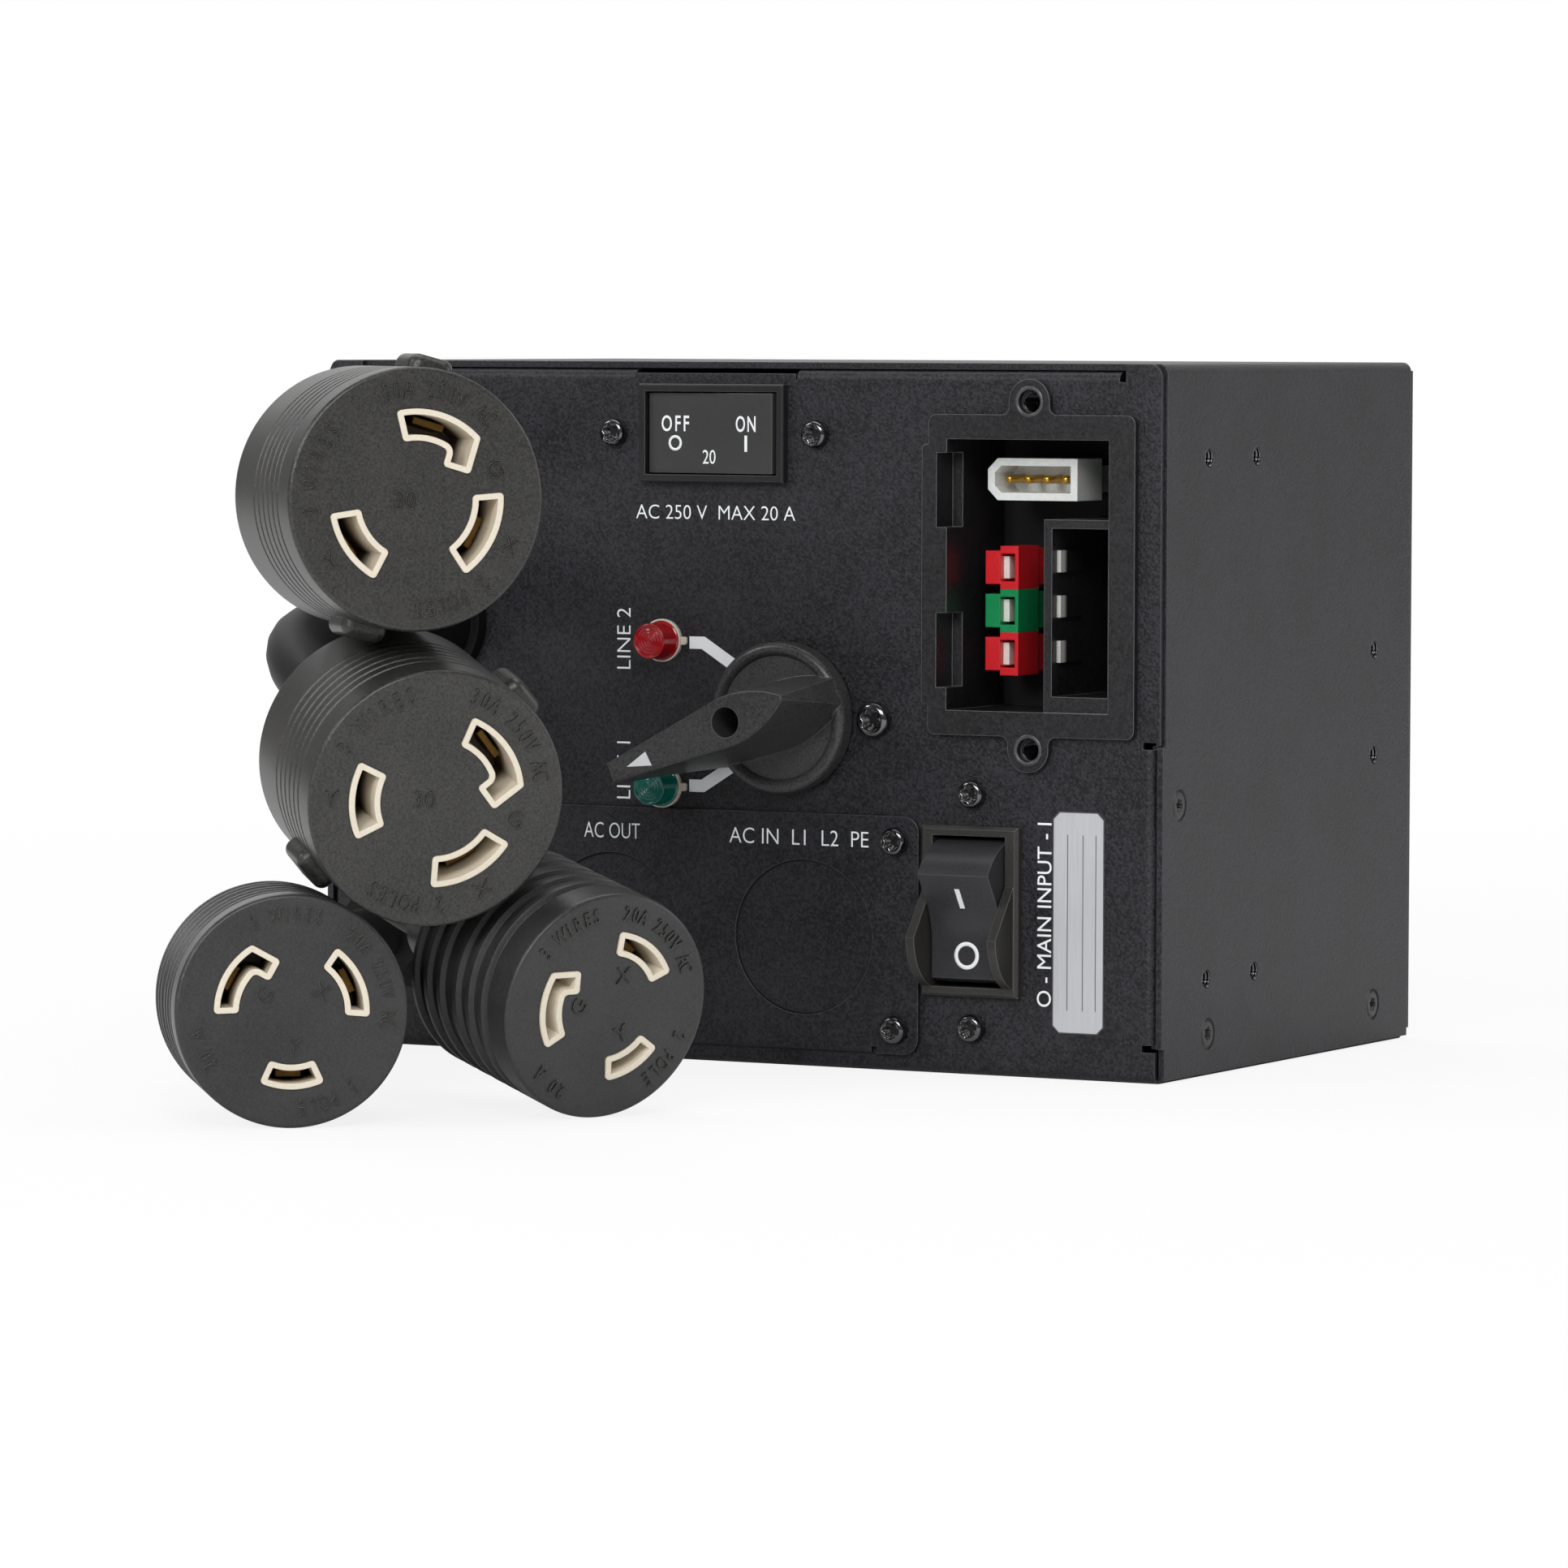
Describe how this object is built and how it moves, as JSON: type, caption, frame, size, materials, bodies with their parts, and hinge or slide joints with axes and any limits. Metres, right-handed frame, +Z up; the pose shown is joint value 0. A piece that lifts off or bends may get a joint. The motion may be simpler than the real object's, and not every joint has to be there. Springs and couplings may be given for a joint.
{
  "type": "rack maintenance bypass transfer switch",
  "caption": "Black sheet-metal power box with a turning bypass handle, breaker, rocker switch, pilot lamps, a recessed connector and locking receptacles on short cords.",
  "frame": {"origin": "middle of the box's underside, on the surface it stands on", "axes": "+X to the right seen from the front panel, +Y from the front panel to the rear wall, +Z up"},
  "size_m": [0.1764, 0.2656, 0.1318],
  "materials": {
    "powder_coat": "fine textured black powder coat on steel sheet",
    "black_screw": "black chrome plated",
    "breaker_case": "moulded black",
    "breaker_rocker": "moulded black, satin",
    "handle": "moulded dark grey, fine grained",
    "steel": "zinc plated",
    "brass": "stamped",
    "gilt_pin": "gilt",
    "red_lens": "clear red moulding",
    "green_lens": "clear green moulding",
    "lamp_collar": "pale moulding",
    "switch_case": "moulded black, satin",
    "switch_rocker": "moulded black, glossy",
    "bezel": "moulded black, fine grained",
    "white_nylon": "natural nylon",
    "red_housing": "moulded red",
    "green_housing": "moulded green",
    "connector_shell": "moulded dark grey nylon, grained",
    "rubber_shell": "moulded black rubber",
    "cream_core": "moulded cream",
    "cord_jacket": "black rubber jacket",
    "gland": "moulded black nylon"
  },
  "bodies": {
    "chassis": {"breaker_body": "breaker_case", "breaker_screws": "black_screw", "breaker_terminals": "brass", "bypass_switch_block": "breaker_case", "bypass_switch_screws": "black_screw", "bypass_terminals": "brass", "chassis_tray": "powder_coat", "connector_bezel": "bezel", "connector_body_1": "connector_shell", "connector_body_2": "connector_shell", "connector_body_3": "rubber_shell", "connector_body_4": "rubber_shell", "connector_contacts_1": "brass", "connector_contacts_2": "brass", "connector_contacts_3": "brass", "connector_contacts_4": "brass", "connector_core_1": "cream_core", "connector_core_2": "cream_core", "connector_core_3": "cream_core", "connector_core_4": "cream_core", "connector_rear_1": "connector_shell", "connector_rear_2": "connector_shell", "connector_rear_3": "rubber_shell", "connector_rear_4": "rubber_shell", "cord_1": "cord_jacket", "cord_2": "cord_jacket", "cord_3": "cord_jacket", "cord_4": "cord_jacket", "cord_gland_1": "gland", "cord_gland_2": "gland", "cord_gland_3": "gland", "cord_gland_4": "gland", "cover_side_screws": "black_screw", "earth_stud": "brass", "green_lamp_lens": "green_lens", "lamp_bodies": "breaker_case", "lamp_collars": "lamp_collar", "module_fingers": "steel", "power_contacts": "steel", "power_housing_lower": "red_housing", "power_housing_middle": "green_housing", "power_housing_upper": "red_housing", "red_lamp_lens": "red_lens", "signal_pins": "gilt_pin", "signal_plug": "white_nylon", "socket_back_plate": "bezel", "switch_body": "switch_case", "switch_screws": "black_screw", "switch_terminals": "brass", "terminal_block": "breaker_case", "terminal_block_screws": "steel", "terminal_cover_plate": "powder_coat", "terminal_cover_screws": "black_screw", "top_cover": "powder_coat"},
    "bypass_handle": {"bypass_handle": "handle", "bypass_shaft": "steel", "handle_screw": "steel"},
    "breaker_rocker": {"breaker_rocker": "breaker_rocker"},
    "switch_rocker": {"switch_rocker": "switch_rocker"}
  },
  "joints": [
    {"name": "bypass_turn", "type": "hinge", "parent": "chassis", "child": "bypass_handle", "pos_m": [0.0112, -0.0553, 0.0646], "axis": [0, 1, 0], "range_deg": [0, 45]},
    {"name": "breaker_rock", "type": "hinge", "parent": "chassis", "child": "breaker_rocker", "pos_m": [-0.0039, -0.0537, 0.1168], "axis": [0, 0, 1], "range_deg": [0, 7]},
    {"name": "switch_rock", "type": "hinge", "parent": "chassis", "child": "switch_rocker", "pos_m": [0.05, -0.0523, 0.0301], "axis": [-1, 0, 0], "range_deg": [0, 34]}
  ]
}
